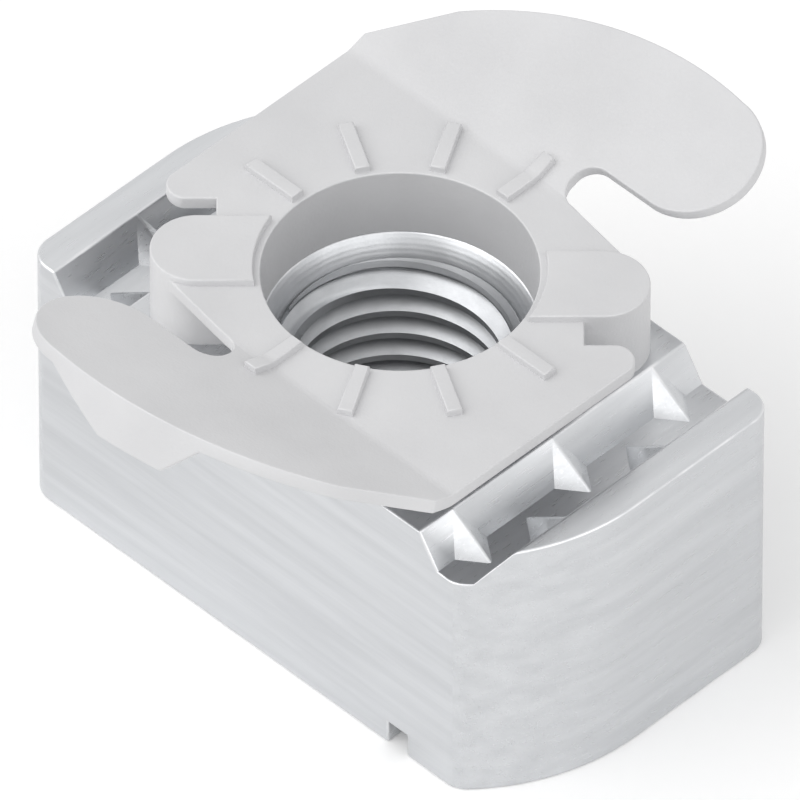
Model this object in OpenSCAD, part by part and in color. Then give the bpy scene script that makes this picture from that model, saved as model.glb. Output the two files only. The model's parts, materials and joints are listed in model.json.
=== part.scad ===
// Channel retainer nut: a toothed nut that grips the lips of a strut channel from inside, and a
// sprung plate on top that holds it there while the bolt is started.
// Millimetres, +Z up along the bolt. The origin is the middle of the nut's underside.
// X runs across the channel (nut length), Y runs along it (nut width).

/* [Nut] */
// Length, across the channel
nut_l = 35; // [34:0.5:38]
// Width, along the channel
nut_w = 19.3; // [18.9:0.1:20.5]
// Height of the block
nut_h = 16.9; // [15:0.1:20]
// Radius of the two corners that let the nut turn into the channel
turn_r = 12.7; // [12:0.1:13.5]
// How far the turning radius is centred beyond the middle of the end face
turn_shift = 0.5; // [0.2:0.1:1]
// Fillet of the upright edges
edge_r = 1.45; // [0.8:0.05:1.8]

/* [Lip grooves] */
// Width of the ridge that stands between the channel lips
ridge_w = 22; // [21.6:0.1:23]
// Width of a groove at its top
groove_w = 4.5; // [4.3:0.1:4.9]
// Depth of a groove
groove_h = 2; // [1.6:0.1:2.4]
// Lean of a groove wall from top to floor
groove_lean = 1.3; // [1:0.05:1.5]
// Spacing of the teeth on one wall
tooth_pitch = 7.2; // [6.4:0.1:7.6]
// Teeth on an inner wall; the outer wall has one fewer, set halfway between
tooth_n = 3; // [2:1:3]
// Reach of a tooth over the floor, from the top of its wall
tooth_l = 2.85; // [2.5:0.05:3]
// Width of a tooth at the foot of its wall
tooth_w = 2.3; // [1.8:0.1:2.6]

/* [Thread] */
// Nominal diameter of the thread
thread_d = 12.7; // [10:0.1:13]
// Half angle of the countersink above the thread
sink_angle = 35; // [30:1:45]
// Chamfer at the lower end of the thread
mouth = 0.6; // [0.3:0.1:1]

/* [Underside groove] */
// Distance of the groove from the bolt axis
mark_x = 9.45; // [8.5:0.05:11]
// Width of the groove
mark_w = 1.35; // [1:0.05:2]
// Depth of the groove
mark_h = 1.45; // [1:0.05:2]

/* [Retainer plate] */
// Thickness of the plate and arms
plate_t = 0.8; // [0.6:0.1:1.2]
// Height of the plate's upper face over the nut
plate_rise = 4.2; // [3.6:0.1:5]
// Width across the two straight edges
plate_w = 26.6; // [26:0.1:28]
// Diameter of the bolt hole
hole_d = 14.3; // [13.8:0.1:14.6]
// Wall of the tube between plate and nut
hub_wall = 0.5; // [0.4:0.1:0.8]

/* [Bars and ribs] */
// Turn of the two bars from the nut's length
bar_turn = 45; // [42:1:48]
// Reach of a bar from the bolt axis
bar_l = 12.8; // [12.4:0.1:13]
// Width of a bar
bar_w = 4.8; // [4.4:0.1:5]
// Sideways shift of a bar from the bolt axis
bar_shift = 1.3; // [1.1:0.1:1.5]
// Height of the bars and ribs over the plate
rib_h = 0.42; // [0.3:0.02:0.6]
// Width of a rib
rib_w = 0.8; // [0.6:0.1:1]
// Reach of a rib from the bolt axis
rib_l = 10.8; // [10:0.1:11]
// Angle between neighbouring ribs
rib_step = 30; // [28:1:30]
// Gap that frees the plate beside a bar
relief = 1.6; // [1.2:0.1:2]
// Distance along the bar at which that gap starts
relief_x = 9.4; // [9:0.1:10]
// Rounding of the plate's corner at that gap
relief_r = 1.1; // [0.6:0.1:1.2]

/* [Arms] */
// Rise of the arms
bend = 20; // [12:1:24]
// Inner radius of the bend
bend_r = 1.5; // [1:0.1:2]
// How far inside the nut's side the bend starts
bend_in = 0.35; // [0.2:0.05:0.5]
// Radius of the arm's rounded tip
tip_r = 3.6; // [3.2:0.1:4]
// Distance of the tip's centre from the bolt axis
tip_x = 5.95; // [5:0.05:6.5]
// Radius of the arm's outer edge
arc_r = 20.8; // [18:0.1:24]
// Turn of the arm's outer edge where it runs into the tip
arc_turn = 8.8; // [6:0.2:10]
// Start of the slanting corner, from the bend
slant_y = 0.95; // [0.6:0.05:1.6]
// Angle of the slanting corner
slant = 50; // [45:1:55]

/* [Arm slots] */
// Width of the slot between arm and plate
slot_w = 2.36; // [2:0.04:2.6]
// Inner edge of the arm, from the bend
slot_edge = 2.28; // [2.2:0.02:2.5]
// Distance of the slot's closed end centre from the bolt axis
slot_x = 2.9; // [2.5:0.1:3.5]
// Slope of the slot's edge on the plate side
slot_slope = 9; // [7:1:10]

/* [Tabs] */
// Depth of a tab below the arm's upper face
tab_h = 2.8; // [2:0.1:4]
// Middle of a tab where it leaves the arm
tab_root_x = 1.2; // [0:0.1:1.5]
// Width of a tab where it leaves the arm
tab_root_w = 9.6; // [7:0.1:9.8]
// Middle of a tab's lower edge
tab_foot_x = 0; // [-0.5:0.1:1]
// Width of a tab's lower edge
tab_foot_w = 3.9; // [2:0.1:5]

/* [Pegs] */
// Diameter of the pegs that fix the retainer to the nut
peg_d = 2.4; // [2:0.1:3]
// Length of the pegs
peg_l = 3; // [2:0.1:4]
// Gap around and below a peg in its hole
peg_gap = 0.04; // [0.02:0.01:0.1]

/* [Finish] */
// Colour of the nut
steel = [0.62, 0.63, 0.65]; // [0:0.01:1]
// Colour of the retainer
plastic = [0.82, 0.82, 0.83]; // [0:0.01:1]

/* [Hidden] */
$fn = 96;
// How far a cutting shape runs past what it cuts
over = 1;
// Overshoot that lets a rounding run into its neighbour
blend = 0.02;
// Nut and retainer are the same after half a turn
half_turn = [0, 180];
// Narrow flats that make up the arm's fold
fold_n = 3;
// Ribs on the level plate, counted in steps of angle; one more runs up the arm
rib_places = [0, 4, 5];
plate_top = nut_h + plate_rise;
bar_top = plate_top + rib_h;
hole_r = hole_d / 2;
hub_r = hole_r + hub_wall;
thread_r = thread_d / 2;
sink_h = (hole_r - thread_r) / tan(sink_angle);
turn_x = nut_l / 2 - turn_r;
turn_fillet_y = nut_w / 2 - edge_r;
turn_fillet_x = turn_x + sqrt(pow(turn_r - edge_r, 2) - pow(turn_fillet_y - turn_shift, 2));
tooth_angle = atan2(groove_h, tooth_l);
tooth_rise = groove_h * (1 - groove_lean / tooth_l) * cos(tooth_angle);
tooth_deep = tooth_rise + groove_h / 4;
tooth_half = tooth_w / 2 * tooth_deep / tooth_rise;
tooth_run = norm([tooth_l, groove_h]);
bar_end = bar_l - bar_w / 2;
rib_start = hub_r - hub_wall / 2;
rib_root = plate_t / 4;
relief_y = -bar_shift - bar_w / 2 - relief;
corner_y = plate_w / 2 + relief_y / sin(bar_turn);
corner_run = relief_r / tan(bar_turn / 2);
corner_out = relief / 2 * [-sin(bar_turn), cos(bar_turn)] - corner_run * [cos(bar_turn), sin(bar_turn)];
bend_y = nut_w / 2 - bend_in;
tip_y = slot_edge + tip_r;
arc_c = [tip_x, tip_y] - (arc_r - tip_r) * [sin(arc_turn), cos(arc_turn)];
slot_out = plate_w / 2 + over - slot_x;
slot_y = bend_y + bend_r * sin(bend) + slot_edge * cos(bend) - slot_w / 2;
// Longer than any shape that it cuts
far = nut_l;
arm_reach = far * [cos(bend), sin(bend)];
tab_top = -plate_t / 2;

// The upright block seen from above: two square corners and two turning corners
module nut_outline() {
    difference() {
        square([nut_l, nut_w], center = true);
        for (a = half_turn)
            rotate(a) {
                square_corner_waste();
                turning_corner_waste();
            }
    }
}

module square_corner_waste() {
    translate([nut_l / 2 - edge_r, nut_w / 2 - edge_r])
        difference() {
            square(edge_r + over);
            circle(r = edge_r);
        }
}

module turning_corner_waste() {
    difference() {
        translate([turn_x, -nut_w / 2 - over])
            square([turn_r + over, nut_w / 2 + over - turn_shift]);
        translate([turn_x, -turn_shift])
            circle(r = turn_r);
    }
    difference() {
        translate([turn_fillet_x, -nut_w / 2 - over])
            square([nut_l, edge_r + over]);
        translate([turn_fillet_x, -turn_fillet_y])
            circle(r = edge_r);
        translate([turn_x, -turn_shift])
            rotate(atan2(turn_shift - turn_fillet_y, turn_fillet_x - turn_x))
                square(nut_l);
    }
}

// One tooth: a three-cornered ridge that slants from the top of the wall down to the floor
module tooth() {
    rotate([0, tooth_angle, 0])
        rotate([90, 0, 90])
            translate([0, 0, -tooth_deep])
                linear_extrude(tooth_run + 2 * tooth_deep)
                    polygon([[0, 0], [-tooth_half, -tooth_deep], [tooth_half, -tooth_deep]]);
}

module tooth_row(n) {
    for (i = [0 : n - 1])
        translate([0, (i - (n - 1) / 2) * tooth_pitch, 0])
            tooth();
}

// What is cut away for one lip groove, with the teeth left standing
module groove_waste() {
    translate([ridge_w / 2, 0, nut_h])
        difference() {
            rotate([90, 0, 0])
                linear_extrude(nut_w + 2 * over, center = true)
                    polygon([
                        [0, over], [0, 0], [groove_lean, -groove_h],
                        [groove_w - groove_lean, -groove_h], [groove_w, 0], [groove_w, over]
                    ]);
            tooth_row(tooth_n);
            translate([groove_w, 0, 0])
                mirror([1, 0, 0])
                    tooth_row(tooth_n - 1);
        }
}

// Round waste for the thread, its countersink and its lower chamfer
module thread_waste() {
    rotate_extrude()
        polygon([
            [0, -over], [thread_r + mouth + over, -over], [thread_r, mouth],
            [thread_r, nut_h - sink_h], [hole_r, nut_h], [hole_r, nut_h + over], [0, nut_h + over]
        ]);
}

module at_peg() {
    rotate(bar_turn)
        translate([bar_end, -bar_shift, 0])
            children();
}

module channel_nut() {
    color(steel)
        difference() {
            linear_extrude(nut_h)
                nut_outline();
            for (a = half_turn)
                rotate(a) {
                    groove_waste();
                    at_peg()
                        translate([0, 0, nut_h - peg_l - peg_gap])
                            cylinder(d = peg_d + 2 * peg_gap, h = peg_l + over);
                }
            thread_waste();
            translate([mark_x - mark_w / 2, -nut_w / 2 - over, -over])
                cube([mark_w, nut_w + 2 * over, mark_h + over]);
        }
}

// The level part of the plate, freed beside each bar
module plate_outline() {
    difference() {
        square([plate_w, 2 * bend_y], center = true);
        for (a = half_turn)
            rotate(a) {
                rotate(bar_turn)
                    translate([relief_x, relief_y])
                        square([far, -relief_y]);
                relief_corner_waste();
            }
    }
}

module relief_corner_waste() {
    difference() {
        translate([plate_w / 2, corner_y])
            polygon([[-relief_r, -corner_run], [over, -corner_run], [over, relief], corner_out]);
        translate([plate_w / 2 - relief_r, corner_y - corner_run])
            circle(r = relief_r + blend);
    }
}

// Moves a flat arm shape, drawn from the bend outwards, onto the rising arm
module on_arm() {
    translate([0, bend_y, plate_top + bend_r])
        rotate([bend, 0, 0])
            translate([0, 0, -bend_r])
                children();
}

module arm_outline() {
    difference() {
        union() {
            intersection() {
                translate(arc_c)
                    circle(r = arc_r);
                polygon([
                    [-far, far], [-far, -over], [tip_x, -over],
                    [tip_x, tip_y], arc_c + (arc_r + over) * [sin(arc_turn), cos(arc_turn)]
                ]);
            }
            translate([tip_x, tip_y])
                circle(r = tip_r + blend);
        }
        translate([-plate_w / 2, slant_y])
            rotate(slant)
                translate([-far / 2, 0])
                    square(far);
    }
}

// A point of the fold, counted in flats from the level plate
function fold_point(r, i) = r * [sin(bend * i / fold_n), -cos(bend * i / fold_n)];

// A layer of the arm seen from its side, from the fold's centre: a rounded fold and a straight rise
module arm_section(above, below) {
    polygon([
        for (i = [0 : fold_n]) fold_point(bend_r + below, i),
        fold_point(bend_r + below, fold_n) + arm_reach,
        fold_point(bend_r - above, fold_n) + arm_reach,
        for (i = [fold_n : -1 : 0]) fold_point(bend_r - above, i)
    ]);
}

// A tab turned down along the arm's outer edge, narrowing to its foot
module tab() {
    intersection() {
        translate([arc_c.x, arc_c.y, -tab_h])
            difference() {
                cylinder(r = arc_r, h = tab_h);
                translate([0, 0, -over])
                    cylinder(r = arc_r - plate_t, h = tab_h + 2 * over);
            }
        translate([0, far, 0])
            rotate([90, 0, 0])
                linear_extrude(far)
                    polygon([
                        [tab_root_x - tab_root_w / 2, tab_top],
                        [tab_root_x - tab_root_w / 2, -plate_t],
                        [tab_foot_x - tab_foot_w / 2, -tab_h],
                        [tab_foot_x + tab_foot_w / 2, -tab_h],
                        [tab_root_x + tab_root_w / 2, -plate_t],
                        [tab_root_x + tab_root_w / 2, tab_top]
                    ]);
    }
}

module arm() {
    intersection() {
        translate([-plate_w / 2, bend_y, plate_top + bend_r])
            rotate([90, 0, 90])
                linear_extrude(plate_w)
                    arm_section(0, plate_t);
        on_arm()
            translate([0, 0, -plate_t - over])
                linear_extrude(plate_t + 2 * over)
                    arm_outline();
    }
    on_arm()
        tab();
}

// The slot between arm and plate: upright on the plate side, square to the arm on the other
module slot_waste() {
    translate([0, 0, plate_top - plate_t - over])
        linear_extrude(plate_t + 2 * over) {
            translate([slot_x, slot_y])
                circle(d = slot_w);
            translate([slot_x, slot_y])
                polygon([
                    [0, -slot_w / 2], [slot_out, -slot_w / 2 - slot_out * tan(slot_slope)],
                    [slot_out, 0], [0, 0]
                ]);
        }
    on_arm()
        translate([0, 0, -plate_t - over])
            linear_extrude(plate_t + 2 * over) {
                translate([slot_x, slot_edge - slot_w / 2])
                    circle(d = slot_w);
                translate([slot_x, slot_edge - slot_w])
                    square([far, slot_w]);
            }
}

module rib(angle) {
    rotate(angle)
        translate([rib_start, -rib_w / 2, plate_top - rib_root])
            cube([rib_l - rib_start, rib_w, rib_root + rib_h]);
}

// The rib that runs up the fold with the arm
module arm_rib() {
    intersection() {
        translate([-rib_w / 2, bend_y, plate_top + bend_r])
            rotate([90, 0, 90])
                linear_extrude(rib_w) {
                    translate([-bend_y, -bend_r - rib_root])
                        square([bend_y, rib_root + rib_h]);
                    arm_section(rib_h, rib_root);
                }
        translate([-far, rib_start, 0])
            cube([2 * far, rib_l - rib_start, 2 * far]);
    }
}

// A bar that stands on the nut and carries the plate
module bar() {
    difference() {
        rotate(bar_turn)
            translate([0, -bar_shift, nut_h]) {
                translate([0, -bar_w / 2, 0])
                    cube([bar_end, bar_w, bar_top - nut_h]);
                translate([bar_end, 0, 0])
                    cylinder(d = bar_w, h = bar_top - nut_h);
            }
        translate([0, 0, nut_h - over])
            cylinder(r = hub_r - hub_wall / 4, h = bar_top - nut_h + 2 * over);
    }
    at_peg()
        translate([0, 0, nut_h - peg_l])
            cylinder(d = peg_d, h = peg_l + over);
}

module retainer() {
    color(plastic) {
        difference() {
            union() {
                translate([0, 0, plate_top - plate_t])
                    linear_extrude(plate_t)
                        plate_outline();
                for (a = half_turn)
                    rotate(a) {
                        arm();
                        arm_rib();
                        for (i = rib_places)
                            rib(i * rib_step);
                    }
                translate([0, 0, nut_h])
                    cylinder(r = hub_r, h = plate_rise);
            }
            for (a = half_turn)
                rotate(a)
                    slot_waste();
            translate([0, 0, nut_h - over])
                cylinder(r = hole_r, h = plate_rise + 2 * over);
        }
        for (a = half_turn)
            rotate(a)
                bar();
    }
}

channel_nut();
retainer();
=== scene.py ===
# %% [markdown]
# # A channel retainer nut, dressed in Blender
#
# The part is a steel nut with toothed grooves and a moulded retainer plate on top. The CAD model
# already has both shapes at their true size, so this lesson adds what CAD leaves out: the screw
# thread, small edge roundings that catch the light, and the finish of zinc-plated steel and of
# moulded plastic. Everything is in metres and in the CAD model's own frame.

# %% Load the frame
import json
import math

import bmesh
import bpy
from mathutils import Matrix, Vector


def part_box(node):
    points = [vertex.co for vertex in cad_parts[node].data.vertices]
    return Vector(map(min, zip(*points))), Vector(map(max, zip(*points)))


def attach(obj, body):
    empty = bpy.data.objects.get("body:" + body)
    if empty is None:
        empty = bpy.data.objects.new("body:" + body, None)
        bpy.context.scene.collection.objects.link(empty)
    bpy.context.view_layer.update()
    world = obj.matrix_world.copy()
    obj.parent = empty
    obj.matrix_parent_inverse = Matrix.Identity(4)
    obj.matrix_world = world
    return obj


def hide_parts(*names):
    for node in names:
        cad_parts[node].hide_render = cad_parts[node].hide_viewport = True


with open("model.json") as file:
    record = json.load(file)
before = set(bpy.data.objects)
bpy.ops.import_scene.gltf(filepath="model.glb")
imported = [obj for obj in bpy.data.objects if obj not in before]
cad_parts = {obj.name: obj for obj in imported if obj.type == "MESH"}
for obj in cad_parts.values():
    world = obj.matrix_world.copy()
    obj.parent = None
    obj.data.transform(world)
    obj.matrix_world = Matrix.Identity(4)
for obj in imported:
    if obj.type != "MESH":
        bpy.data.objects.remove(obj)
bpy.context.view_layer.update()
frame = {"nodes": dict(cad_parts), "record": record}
MM = 0.001

# %% [markdown]
# ## The two bodies
#
# The nut is a block of steel and the retainer a thin plastic moulding. Both come from the CAD
# model as loose triangles. An edge can be rounded only where its faces are joined, so we work on a
# copy of each: its points are merged and the triangles of each flat face become one face.

# %% Merge the CAD meshes
MERGE = 0.001 * MM
FLAT = math.radians(0.5)
bodies = {}
for node in ("channel_nut", "retainer"):
    bm = bmesh.new()
    bm.from_mesh(frame["nodes"][node].data)
    bmesh.ops.remove_doubles(bm, verts=bm.verts, dist=MERGE)
    bmesh.ops.dissolve_limit(bm, angle_limit=FLAT, verts=bm.verts, edges=bm.edges)
    bodies[node] = bm
    print(node, "has", len(bm.faces), "flat faces")

# %% [markdown]
# A real edge is never perfectly sharp: plating and moulding round it by a tenth of a millimetre or
# so, and that rounding is what draws a bright line along it. Only edges that stick out are
# rounded, and inner corners stay crisp. On the retainer, so do the edges on its joint with the nut
# and the short upright corners of the ribs and bars.

# %% Choose the edges to round
SHARP = math.radians(25)
NEAR = 0.01 * MM
UPRIGHT = 0.9
SHORT = 0.5 * MM
nut_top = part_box("channel_nut")[1].z


def is_sharp(edge):
    """True where two faces meet at a clear angle."""
    return edge.calc_face_angle(0) > SHARP


def stays_crisp(edge):
    """True for an edge on the joint with the nut, or a short upright corner on the plate."""
    low, high = sorted(v.co.z for v in edge.verts)
    on_joint = high < nut_top + NEAR
    upright = high - low > UPRIGHT * edge.calc_length()
    return on_joint or (upright and high - low < SHORT)


outer = {n: [e for e in bm.edges if is_sharp(e) and e.is_convex] for n, bm in bodies.items()}
outer["retainer"] = [e for e in outer["retainer"] if not stays_crisp(e)]
print("edges to round:", {n: len(edges) for n, edges in outer.items()})

# %% [markdown]
# A Bevel modifier could round them, but the mesh operator also tells us which faces it made, and
# the shading will need to know.

# %% Round the edges
EDGE_R = {"channel_nut": 0.14 * MM, "retainer": 0.1 * MM}
SEGMENTS = 2
strips = {}
for node, bm in bodies.items():
    made = bmesh.ops.bevel(
        bm, geom=outer[node], offset=EDGE_R[node], offset_type="OFFSET", segments=SEGMENTS,
        profile=0.5, affect="EDGES", clamp_overlap=False, material=-1,
    )
    strips[node] = set(made["faces"])
    print(node, "has", len(strips[node]), "rounding faces")

# %% [markdown]
# The rounded edges get a mark, so that a material can rub its finish there and paint a highlight
# along them. The shading is smooth across them and breaks at the sharp edges that are left. Where
# two roundings meet at a crisp corner, the seam between them is set sharp too, or the shading
# would run round the corner.

# %% Mark and shade the roundings
for node, bm in bodies.items():
    strip = strips[node]
    mark = bm.verts.layers.float.new("edge")
    for v in bm.verts:
        v[mark] = 1.0 if strip.issuperset(v.link_faces) else 0.0
    for f in bm.faces:
        f.smooth = True
    bare = [e for e in bm.edges if is_sharp(e) and strip.isdisjoint(e.link_faces)]
    crisp = {v for e in bare for v in e.verts}
    for e in bm.edges:
        mitre = strip.issuperset(e.link_faces) and not crisp.isdisjoint(e.verts)
        rounded = e.is_convex and not mitre and not strip.isdisjoint(e.link_faces)
        e.smooth = rounded or not is_sharp(e)
    print(node, "keeps", sum(not e.smooth for e in bm.edges), "sharp edges")

# %% [markdown]
# Each mesh becomes an object. Its Weighted Normal modifier lets the large faces decide the
# shading, which keeps them flat right up to the rounding.

# %% Nut and retainer
def linked(bm, name):
    """A new object in the scene with the mesh that was built."""
    mesh = bpy.data.meshes.new(name)
    bm.to_mesh(mesh)
    bm.free()
    thing = bpy.data.objects.new(name, mesh)
    bpy.context.scene.collection.objects.link(thing)
    return thing


nut = linked(bodies["channel_nut"], "nut_body")
retainer = linked(bodies["retainer"], "retainer_body")
for piece in (nut, retainer):
    even = piece.modifiers.new("even_normals", "WEIGHTED_NORMAL")
    even.keep_sharp = True
    print(piece.name, "has", len(piece.data.polygons), "faces")

# %% [markdown]
# ## The thread
#
# The CAD bore is a plain hole at the thread's nominal diameter, and the thread stands inwards from
# it as one ridge that winds up the bore. The ridge has the standard shape: flanks at sixty degrees
# and a flat crest. Its root is sunk a little into the metal. The turns are as far apart as the
# drawing's rings, and START is the height that puts them where the drawing has them.

# %% Profile of the ridge
thread = next(m for m in frame["record"]["mounts"] if m["name"] == "thread")
bore_r = thread["dims"]["r_mm"] * MM
PITCH = 1.5875 * MM
START = -0.65 * MM
CREST_R = 5.42 * MM
ROOT_R = bore_r + 0.05 * MM
FLANKS = math.radians(60)
FLANK_CUTS = 7
half_crest = PITCH / 8
half_root = half_crest + (ROOT_R - CREST_R) * math.tan(FLANKS / 2)

bm = bmesh.new()
corners = [
    bm.verts.new((ROOT_R, 0, -half_root)),
    bm.verts.new((CREST_R, 0, -half_crest)),
    bm.verts.new((CREST_R, 0, half_crest)),
    bm.verts.new((ROOT_R, 0, half_root)),
]
outline = [bm.edges.new((a, b)) for a, b in zip(corners, corners[1:] + corners[:1])]
lower_flank, crest, upper_flank, root = outline
bmesh.ops.subdivide_edges(bm, edges=[lower_flank, upper_flank], cuts=FLANK_CUTS)
print("ridge", round((bore_r - CREST_R) / MM, 2), "mm high, of", len(bm.verts), "points")

# %% [markdown]
# A Screw modifier would wind it, but a spin with a step along its axis makes the same helix in one
# operator and leaves a mesh that we can trim. The ridge begins at the first step at which its
# whole root is above the nut's underside and ends at the last one at which it is below the top, so
# both ends stay in the nut. Each end is closed by a fan of triangles around its middle.

# %% Wind the ridge up the bore
STEPS = 96
HIDE = 0.03 * MM
step_z = PITCH / STEPS
step_turn = math.tau / STEPS
first = math.ceil((HIDE + half_root - START) / step_z)
last = math.floor((nut_top - HIDE - half_root - START) / step_z)
to_first = Matrix.Rotation(first * step_turn, 3, "Z")
bmesh.ops.translate(bm, verts=bm.verts, vec=(0, 0, START + first * step_z))
bmesh.ops.rotate(bm, verts=bm.verts, cent=(0, 0, 0), matrix=to_first)
bmesh.ops.spin(
    bm, geom=bm.verts[:] + bm.edges[:], cent=(0, 0, 0), axis=(0, 0, 1),
    dvec=(0, 0, step_z), angle=(last - first) * step_turn, steps=last - first,
)
ends = bmesh.ops.holes_fill(bm, edges=[e for e in bm.edges if e.is_boundary])
bmesh.ops.poke(bm, faces=ends["faces"])
bmesh.ops.recalc_face_normals(bm, faces=bm.faces)
print("wound", round((last - first) / STEPS, 2), "turns of", len(bm.faces), "faces")

# %% [markdown]
# The countersink above and the chamfer below were cut after the thread, so they slice the ridge
# off along a cone. Pushing each point of the ridge out to that cone gives the same run-out, with
# the crest fading into the metal where the screw starts. The root goes a little further out than
# the crest, so the hidden ridge keeps some thickness and its faces never fold over each other.

# %% Run the ridge out at both ends
SINK_R = 7.15 * MM
SINK_SLOPE = math.tan(math.radians(35))
MOUTH = 0.6 * MM
THIN = 0.1
for v in bm.verts:
    r = math.hypot(v.co.x, v.co.y)
    upper = SINK_R - (nut_top - v.co.z) * SINK_SLOPE
    lower = bore_r + MOUTH - v.co.z
    cone = max(upper, lower) + HIDE + THIN * (r - CREST_R)
    out = max(r, cone) / r
    v.co.x *= out
    v.co.y *= out
for f in bm.faces:
    f.smooth = True
for e in bm.edges:
    e.smooth = not is_sharp(e)
nut_thread = linked(bm, "nut_thread")
print("thread runs out into both cones,", len(nut_thread.data.polygons), "faces")

# %% [markdown]
# ## Shared surface effects
#
# Steel and plastic both have a broad, cloudy unevenness and a fine grain, only at other scales and
# strengths. One node group makes both, and each material places it with its own values. It reads
# Object coordinates, so the pattern has its true size in metres and stays on the piece.

# %% Grain group
def socket(group, name, kind, way, value=None):
    """Gives a node group one more input or output, with a value to start from."""
    made = group.interface.new_socket(name=name, in_out=way, socket_type=kind)
    if value is not None:
        made.default_value = value


grain = bpy.data.node_groups.new("surface_grain", "ShaderNodeTree")
socket(grain, "Vector", "NodeSocketVector", "INPUT")
socket(grain, "Cloud Scale", "NodeSocketFloat", "INPUT", 200.0)
socket(grain, "Grain Scale", "NodeSocketFloat", "INPUT", 5000.0)
socket(grain, "Cloud", "NodeSocketFloat", "OUTPUT")
socket(grain, "Grain", "NodeSocketFloat", "OUTPUT")
g_in = grain.nodes.new("NodeGroupInput")
g_out = grain.nodes.new("NodeGroupOutput")
for name, detail in (("Cloud", 4.0), ("Grain", 2.0)):
    noise = grain.nodes.new("ShaderNodeTexNoise")
    noise.inputs["Detail"].default_value = detail
    grain.links.new(g_in.outputs["Vector"], noise.inputs["Vector"])
    grain.links.new(g_in.outputs[name + " Scale"], noise.inputs["Scale"])
    grain.links.new(noise.outputs["Fac"], g_out.inputs[name])
print("group", grain.name, "puts out", [s.name for s in g_out.inputs if s.name])

# %% [markdown]
# A noise seldom reaches 0 or 1: most of it lies around the middle. A Map Range node spreads that
# middle over the range that a finish asks for, and a Math node brings two such values together.

# %% Helpers for values
NOISE_LOW, NOISE_HIGH = 0.3, 0.7


def ranged(tree, value, low=0.0, high=1.0):
    """A noise value, spread from its usual range to low..high."""
    node = tree.nodes.new("ShaderNodeMapRange")
    node.inputs["From Min"].default_value = NOISE_LOW
    node.inputs["From Max"].default_value = NOISE_HIGH
    node.inputs["To Min"].default_value = low
    node.inputs["To Max"].default_value = high
    tree.links.new(value, node.inputs["Value"])
    return node.outputs["Result"]


def combined(tree, operation, one, other):
    """The result of a Math node on two values."""
    node = tree.nodes.new("ShaderNodeMath")
    node.operation = operation
    tree.links.new(one, node.inputs[0])
    tree.links.new(other, node.inputs[1])
    return node.outputs["Value"]


print("a noise is spread from", NOISE_LOW, "to", NOISE_HIGH)

# %% [markdown]
# Handling rubs an edge before it rubs a face. The second group takes the edge mark that the
# rounding left on the mesh and breaks it up with a noise, so the wear comes and goes along an
# edge. The same mask also paints a highlight on the rounded edges, where light would catch them.

# %% Edge wear and painted highlight group
wear_and_highlight = bpy.data.node_groups.new("edge_wear_and_highlight", "ShaderNodeTree")
socket(wear_and_highlight, "Vector", "NodeSocketVector", "INPUT")
socket(wear_and_highlight, "Scale", "NodeSocketFloat", "INPUT", 600.0)
socket(wear_and_highlight, "Amount", "NodeSocketFloat", "INPUT", 0.5)
socket(wear_and_highlight, "Wear And Highlight", "NodeSocketFloat", "OUTPUT")
w_in = wear_and_highlight.nodes.new("NodeGroupInput")
w_out = wear_and_highlight.nodes.new("NodeGroupOutput")
edge = wear_and_highlight.nodes.new("ShaderNodeAttribute")
edge.attribute_name = "edge"
patch = wear_and_highlight.nodes.new("ShaderNodeTexNoise")
patch.inputs["Detail"].default_value = 3.0
wear_and_highlight.links.new(w_in.outputs["Vector"], patch.inputs["Vector"])
wear_and_highlight.links.new(w_in.outputs["Scale"], patch.inputs["Scale"])
broken = combined(wear_and_highlight, "MULTIPLY", edge.outputs["Fac"], ranged(wear_and_highlight, patch.outputs["Fac"]))
scaled = combined(wear_and_highlight, "MULTIPLY", broken, w_in.outputs["Amount"])
wear_and_highlight.links.new(scaled, w_out.inputs["Wear And Highlight"])
print("group", wear_and_highlight.name, "reads the mesh attribute", edge.attribute_name)

# %% [markdown]
# ## Materials
#
# Each material is one Principled BSDF. The cloud shifts its colour a little, the grain drives its
# roughness and a Bump node, and the wear mask brightens the edges, as wear and as a painted
# highlight. Setting these up by one function keeps the finishes alike in structure and different
# in their values.

# %% Helpers for colour and tool rings
WAVE_RADIANS = 20
RING_WOBBLE = 0.6


def mixed(tree, factor, low, high):
    """A colour between low and high, each a colour or the output of another node."""
    mix = tree.nodes.new("ShaderNodeMix")
    mix.data_type = "RGBA"
    colours = [s for s in mix.inputs if s.type == "RGBA"]
    for s, c in zip(colours, (low, high)):
        if isinstance(c, tuple):
            s.default_value = c
        else:
            tree.links.new(c, s)
    tree.links.new(factor, mix.inputs["Factor"])
    return next(s for s in mix.outputs if s.type == "RGBA")


def tool_rings(tree, vector, spacing):
    """Rings about Z. At scale 1 a Wave texture runs through 20 radians in each metre."""
    wave = tree.nodes.new("ShaderNodeTexWave")
    wave.wave_type = "RINGS"
    wave.rings_direction = "Z"
    wave.inputs["Scale"].default_value = math.tau / WAVE_RADIANS / spacing
    wave.inputs["Distortion"].default_value = RING_WOBBLE
    tree.links.new(vector, wave.inputs["Vector"])
    return wave.outputs["Fac"]


print("at scale 1 the rings are", round(math.tau / WAVE_RADIANS, 3), "m apart")

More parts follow.
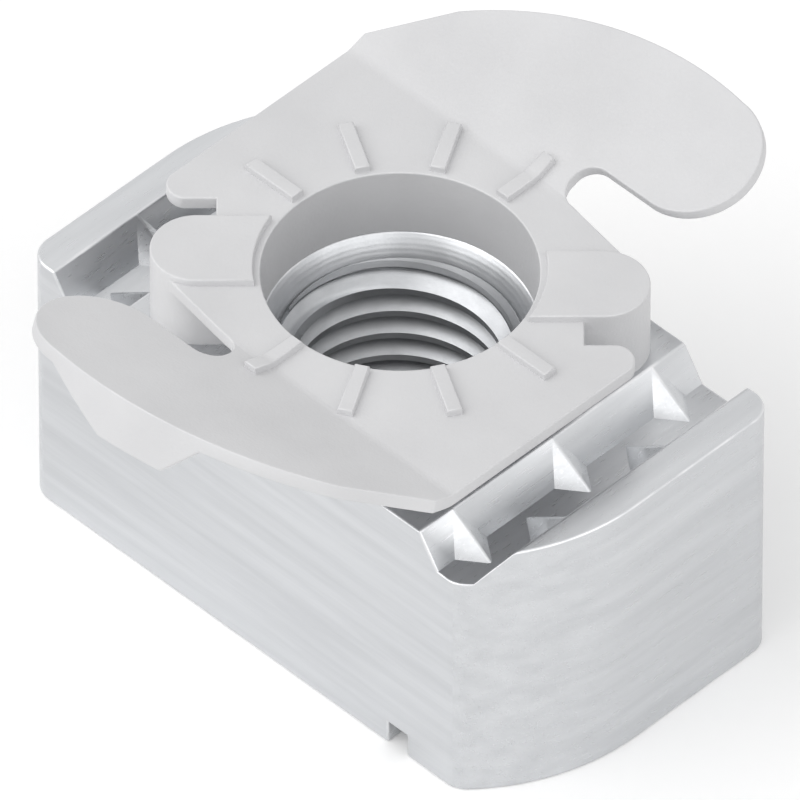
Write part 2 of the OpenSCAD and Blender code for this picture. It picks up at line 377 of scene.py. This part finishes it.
# %% Material maker
def finish_material(
    name, dark, light, rubbed_and_highlight, rough, metallic, cloud, grit, stretch, bump, depth, amount,
    rings=None,
):
    """A material with cloudy colour, grain bump, edges worn and lit by a painted highlight, and
    tool rings if asked.
    """
    mat = bpy.data.materials.new(name)
    mat.use_nodes = True
    tree = mat.node_tree
    bsdf = tree.nodes["Principled BSDF"]
    bsdf.inputs["Metallic"].default_value = metallic
    place = tree.nodes.new("ShaderNodeTexCoord").outputs["Object"]
    stretched = tree.nodes.new("ShaderNodeMapping")
    stretched.inputs["Scale"].default_value = stretch
    tree.links.new(place, stretched.inputs["Vector"])
    look = tree.nodes.new("ShaderNodeGroup")
    look.node_tree = grain
    look.inputs["Cloud Scale"].default_value = cloud
    look.inputs["Grain Scale"].default_value = grit
    tree.links.new(stretched.outputs["Vector"], look.inputs["Vector"])
    rub_and_highlight = tree.nodes.new("ShaderNodeGroup")
    rub_and_highlight.node_tree = wear_and_highlight
    rub_and_highlight.inputs["Amount"].default_value = amount
    tree.links.new(place, rub_and_highlight.inputs["Vector"])
    colour = mixed(tree, ranged(tree, look.outputs["Cloud"]), dark, light)
    # The rubbed colour on the edges is wear and also a painted highlight.
    colour = mixed(tree, rub_and_highlight.outputs["Wear And Highlight"], colour, rubbed_and_highlight)
    tree.links.new(colour, bsdf.inputs["Base Color"])
    tree.links.new(ranged(tree, look.outputs["Grain"], *rough), bsdf.inputs["Roughness"])
    height = look.outputs["Grain"]
    if rings:
        height = combined(tree, "ADD", height, tool_rings(tree, place, rings))
    relief = tree.nodes.new("ShaderNodeBump")
    relief.inputs["Strength"].default_value = bump
    relief.inputs["Distance"].default_value = depth
    tree.links.new(height, relief.inputs["Height"])
    tree.links.new(relief.outputs["Normal"], bsdf.inputs["Normal"])
    print("material", name, "with", len(tree.nodes), "nodes")
    return mat


print("materials share", grain.name, "and", wear_and_highlight.name)

# %% [markdown]
# The nut is cut from a rolled steel bar and plated with zinc. Rolling leaves faint streaks along
# the bar, so the pattern is stretched along Y, and on the two sawn sides it is stretched along X,
# the way the saw ran.

# %% Rolled and sawn steel
STEEL = {"metallic": 1.0, "grit": 9000.0, "depth": 0.01 * MM}
# The rubbed colour is worn zinc and also a painted highlight on the rounded edges.
ZINC = {
    "dark": (0.58, 0.59, 0.605, 1), "light": (0.65, 0.66, 0.675, 1),
    "rubbed_and_highlight": (0.86, 0.86, 0.87, 1), "bump": 0.22, "amount": 0.8,
}
rolled = finish_material(
    "nut_rolled_finish", rough=(0.26, 0.38), cloud=1100.0, stretch=(1.0, 0.08, 1.0),
    **ZINC, **STEEL,
)
sawn = finish_material(
    "nut_sawn_finish", rough=(0.28, 0.4), cloud=1400.0, stretch=(0.06, 1.0, 1.0),
    **ZINC, **STEEL,
)

# %% [markdown]
# The countersink and the lower chamfer were turned and carry fine rings from the tool. The thread
# was tapped, and its colour is darker to paint the shade inside the bore.

# %% Turned steel, and tapped steel darkened as painted shade
EVEN = (1.0, 1.0, 1.0)
# The rubbed colours here are wear and also a painted highlight on the edges.
turned = finish_material(
    "nut_turned_finish", dark=(0.52, 0.53, 0.545, 1), light=(0.57, 0.58, 0.595, 1),
    rubbed_and_highlight=(0.8, 0.8, 0.81, 1), rough=(0.3, 0.4), cloud=900.0, stretch=EVEN, bump=0.25,
    amount=0.8, rings=0.16 * MM, **STEEL,
)
# The thread's darker colour is painted shade for the inside of the bore.
tapped_and_shaded = finish_material(
    "nut_thread_painted_shade_finish", dark=(0.48, 0.49, 0.505, 1), light=(0.55, 0.56, 0.575, 1),
    rubbed_and_highlight=(0.7, 0.7, 0.71, 1), rough=(0.36, 0.48), cloud=900.0, stretch=(1.0, 1.0, 4.0),
    bump=0.2, amount=0.5, **STEEL,
)

# %% [markdown]
# Each face of the nut takes one of three finishes. A painted mask could choose, but a face's place
# and direction already tell: slopes around the axis were turned, the faces that look along Y were
# sawn, and the rest were rolled.

# %% Steel on the nut
TURNED_R = 7.3 * MM
SLOPED = 0.2
SQUARE = 0.95
nut_finishes = [rolled, sawn, turned]


def nut_finish(face):
    """The finish of a face of the nut, by where it lies and which way it points."""
    if math.hypot(face.center.x, face.center.y) < TURNED_R:
        return turned if SLOPED < abs(face.normal.z) < SQUARE else rolled
    return sawn if abs(face.normal.y) > SQUARE else rolled


nut.data.materials.clear()
for material in nut_finishes:
    nut.data.materials.append(material)
for f in nut.data.polygons:
    f.material_index = nut_finishes.index(nut_finish(f))
nut_thread.data.materials.append(tapped_and_shaded)
used = [f.material_index for f in nut.data.polygons]
print("faces rolled, sawn and turned:", [used.count(i) for i in range(len(nut_finishes))])

# %% [markdown]
# The retainer is a thin plastic moulding. Its mould was spark-eroded, which prints a fine matt
# grain on the plastic, the same in every direction. Its edges are only slightly polished, and
# their lighter colour is also a painted highlight.

# %% Plastic
plastic = finish_material(
    "retainer_plastic_finish", dark=(0.63, 0.63, 0.64, 1), light=(0.69, 0.69, 0.7, 1),
    rubbed_and_highlight=(0.78, 0.78, 0.79, 1), rough=(0.4, 0.56), metallic=0.0, cloud=160.0, grit=5500.0,
    stretch=EVEN, bump=0.5, depth=0.03 * MM, amount=0.6,
)
retainer.data.materials.clear()
retainer.data.materials.append(plastic)
print("retainer wears", plastic.name)

# %% [markdown]
# ## Tie the pieces to the frame
#
# The rounded copies stand for the CAD nodes, which are then hidden but stay in the physics model.
# Every piece rides on the one body.

# %% Ride and replacements
slots = ((nut, "nut_steel"), (nut_thread, "nut_steel"), (retainer, "retainer_plastic"))
for piece, slot_name in slots:
    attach(piece, "root")
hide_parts("channel_nut")
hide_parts("retainer")

# %% [markdown]
# ## Stage and light
#
# The part stands on a plain pale floor that catches its shadow: one large face, a hair below the
# nut so that the two never flicker. A lit floor alone would look grey beside the drawing's white
# paper, so it also glows a little. The Light Path node limits the glow to rays that show the
# floor, straight on or mirrored in the steel, and so it sheds no light on the part.

# %% Floor
FLOOR_HALF = 2.0
FLOOR_DROP = 0.02 * MM
bm = bmesh.new()
bmesh.ops.create_grid(bm, x_segments=1, y_segments=1, size=FLOOR_HALF)
bmesh.ops.translate(bm, verts=bm.verts, vec=(0, 0, -FLOOR_DROP))
floor = linked(bm, "floor")
print("floor", round(2 * FLOOR_HALF, 1), "m wide")

# %% Floor finish
FLOOR_GLOW = 0.12


def seen_rays(tree):
    """1 for rays that show a surface, straight, mirrored or through glass, and 0 for others."""
    path = tree.nodes.new("ShaderNodeLightPath")
    value = path.outputs["Is Camera Ray"]
    for kind in ("Is Glossy Ray", "Is Transmission Ray"):
        value = combined(tree, "MAXIMUM", value, path.outputs[kind])
    return value


pale = bpy.data.materials.new("floor_pale")
pale.use_nodes = True
tree = pale.node_tree
matt = tree.nodes["Principled BSDF"]
matt.inputs["Base Color"].default_value = (0.95, 0.95, 0.95, 1)
matt.inputs["Roughness"].default_value = 0.9
matt.inputs["Specular IOR Level"].default_value = 0.1
matt.inputs["Emission Color"].default_value = (1, 1, 1, 1)
glow = tree.nodes.new("ShaderNodeMath")
glow.operation = "MULTIPLY"
glow.inputs[1].default_value = FLOOR_GLOW
tree.links.new(seen_rays(tree), glow.inputs[0])
tree.links.new(glow.outputs["Value"], matt.inputs["Emission Strength"])
floor.data.materials.append(pale)
print("floor wears", pale.name, "and glows at", FLOOR_GLOW)

# %% [markdown]
# A white sky lights the part softly from all round. It too shows brighter than it shines, by the
# same choice of rays.

# %% World
SKY_LIGHT, SKY_SEEN = 0.55, 1.0
world = bpy.data.worlds.new("soft_world")
bpy.context.scene.world = world
world.use_nodes = True
tree = world.node_tree
sky = tree.nodes["Background"]
sky.inputs["Color"].default_value = (1, 1, 1, 1)
level = tree.nodes.new("ShaderNodeMapRange")
level.inputs["To Min"].default_value = SKY_LIGHT
level.inputs["To Max"].default_value = SKY_SEEN
tree.links.new(seen_rays(tree), level.inputs["Value"])
tree.links.new(level.outputs["Result"], sky.inputs["Strength"])
print("sky lights at", SKY_LIGHT, "and shows at", SKY_SEEN)

# %% [markdown]
# A large lamp from the left and a weaker one from the right give the faces different tones. With
# the sky they add up to about one on the upper faces, so a colour renders much as it is written.

# %% Lamps
LIT = Vector((0, 0, 12 * MM))


def lamp(name, place, size, power):
    """An area lamp that faces the part."""
    light = bpy.data.lights.new(name, "AREA")
    light.size = size
    light.energy = power
    thing = bpy.data.objects.new(name, light)
    thing.location = place
    thing.rotation_euler = (LIT - Vector(place)).to_track_quat("-Z", "Y").to_euler()
    bpy.context.scene.collection.objects.link(thing)
    print(name, power, "W at", round(Vector(place).length, 2), "m")


lamp("key", place=(-0.35, -0.55, 0.75), size=1.2, power=6.5)
lamp("fill", place=(0.75, -0.1, 0.45), size=1.0, power=2.4)

# %% [markdown]
# ## Camera
#
# The drawing has parallel edges that stay parallel, seen from forty-five degrees up and
# forty-five degrees round. A very long lens far away gives that, and other views can still
# frame the part by the lens.

# %% Camera
WIDTH = 41.0 * MM
AIM = Vector((0, 0, 11.79 * MM))
camera = bpy.data.cameras.new("camera")
camera.lens = 1600
camera.sensor_width = 36
back = Vector((0.5, -0.5, math.sqrt(0.5)))
reach = WIDTH * camera.lens / camera.sensor_width
camera.clip_end = 2 * reach
view = bpy.data.objects.new("camera", camera)
view.location = AIM + back * reach
view.rotation_euler = (-back).to_track_quat("-Z", "Y").to_euler()
bpy.context.scene.collection.objects.link(view)
bpy.context.scene.camera = view
bpy.context.scene.view_settings.view_transform = "Standard"
print("camera", round(reach, 3), "m away")
